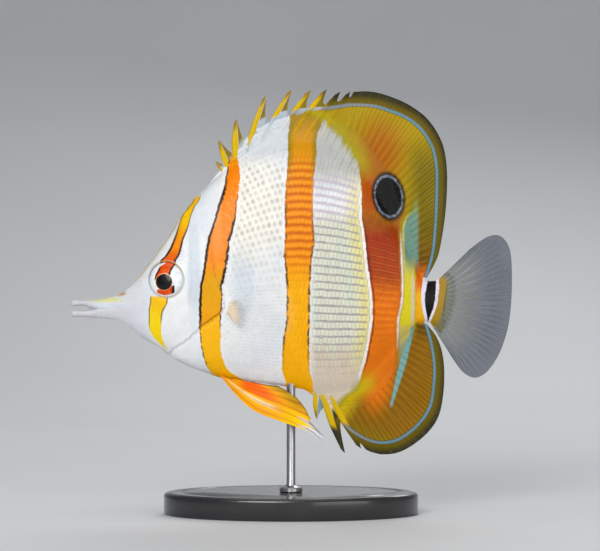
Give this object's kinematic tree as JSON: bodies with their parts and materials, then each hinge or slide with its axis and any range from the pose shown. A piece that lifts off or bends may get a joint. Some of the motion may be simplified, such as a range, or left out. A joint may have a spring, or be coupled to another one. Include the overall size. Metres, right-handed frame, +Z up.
{
  "type": "copperband butterflyfish on a display stand",
  "caption": "Life-size banded butterflyfish with a long forceps snout, spiny back fin, eyespot and clear tail fin, held still by a rod over an oval base.",
  "frame": {"origin": "centre of the stand's underside, below the middle of the fish's length", "axes": "+Z up; -X ahead, the way the snout points; +Y the fish's right side"},
  "size_m": [0.16, 0.06, 0.1536],
  "materials": {
    "pearl_skin": "pearly scaled skin, banded orange in the render",
    "dark_bar": "dark skin of the bar before the tail",
    "iris": "wet, glossy eye",
    "yellow_fin": "satin fin membrane",
    "orange_fin": "satin fin membrane",
    "clear_fin": "thin smoky fin membrane",
    "dark_lacquer": "satin black lacquer",
    "polished_rod": "fine brushed"
  },
  "bodies": {
    "root": {"head": "pearl_skin", "gill_cover_left": "pearl_skin", "gill_cover_right": "pearl_skin", "upper_jaw": "pearl_skin", "lower_jaw": "pearl_skin", "torso": "pearl_skin", "tail_stalk": "dark_bar", "eye_left": "iris", "eye_right": "iris", "dorsal_spines": "yellow_fin", "dorsal_fin": "yellow_fin", "anal_spines": "yellow_fin", "anal_fin": "yellow_fin", "tail_fin": "clear_fin", "pectoral_fin_left": "clear_fin", "pectoral_fin_right": "clear_fin", "pelvic_fin_left": "orange_fin", "pelvic_fin_right": "orange_fin", "stand_base": "dark_lacquer", "stand_rod": "polished_rod"}
  },
  "joints": []
}
